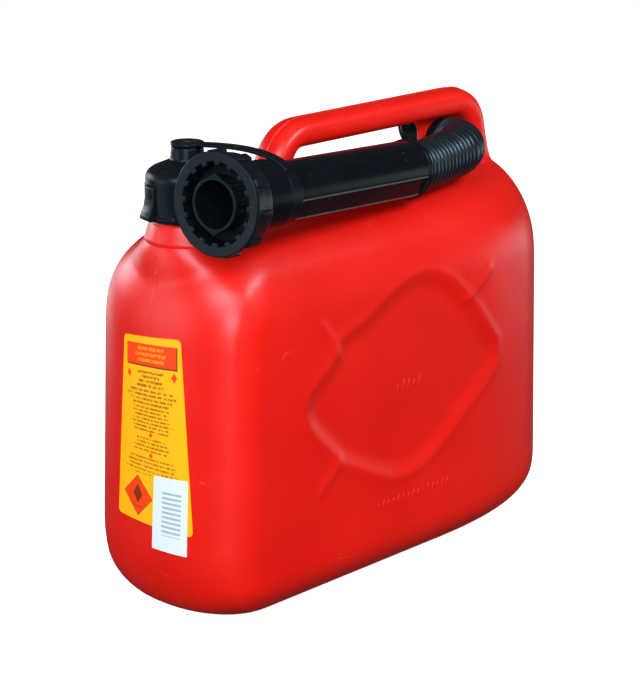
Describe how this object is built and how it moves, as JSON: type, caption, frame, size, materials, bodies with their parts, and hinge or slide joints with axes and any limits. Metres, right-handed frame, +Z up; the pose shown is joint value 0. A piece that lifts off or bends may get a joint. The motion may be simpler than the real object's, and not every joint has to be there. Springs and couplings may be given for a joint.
{
  "type": "portable fuel can",
  "caption": "Blow-moulded plastic fuel can with a carrying handle, a screw cap on a strap, and a flexible pouring spout stowed beside the handle.",
  "frame": {"origin": "middle of the base, on the surface that the can stands on", "axes": "+Z up, +X along the can from the neck end to the rear, +Y across it, away from the side where the spout is stowed"},
  "size_m": [0.2989, 0.1341, 0.2534],
  "materials": {
    "red_plastic": "satin moulded polyethylene",
    "black_plastic": "satin moulded polyethylene",
    "flexible_plastic": "soft flexible polyethylene",
    "seal_rubber": "matt",
    "yellow_sticker": "printed film",
    "white_sticker": "printed film"
  },
  "bodies": {
    "can": {"body": "red_plastic", "spout_tube": "black_plastic", "spout_gasket": "seal_rubber", "bellows": "flexible_plastic", "strap": "flexible_plastic", "front_label": "yellow_sticker", "small_label": "white_sticker"},
    "cap_seal": {"cap_gasket": "seal_rubber"},
    "cap": {"cap": "black_plastic"},
    "collar": {"collar": "black_plastic"},
    "nozzle": {"nozzle": "black_plastic"}
  },
  "joints": [
    {"name": "cap_lift", "type": "slide", "parent": "can", "child": "cap_seal", "axis": [0, 0, 1], "range_m": [0, 0.01], "deforming": ["strap"]},
    {"name": "cap_turn", "type": "hinge", "parent": "cap_seal", "child": "cap", "pos_m": [-0.1155, 0, 0.2078], "axis": [0, 0, 1], "range_deg": [0, 901]},
    {"name": "collar_turn", "type": "hinge", "parent": "can", "child": "collar", "pos_m": [-0.147, -0.0518, 0.227], "axis": [0.9913, 0.1149, -0.065], "continuous": true},
    {"name": "nozzle_pull", "type": "slide", "parent": "can", "child": "nozzle", "axis": [0, -1, 0], "range_m": [0, 0.036], "deforming": ["bellows"]}
  ],
  "couplings": [
    {"joint": "cap_turn", "follows": "cap_lift", "rad_per_m": 1570.8}
  ]
}
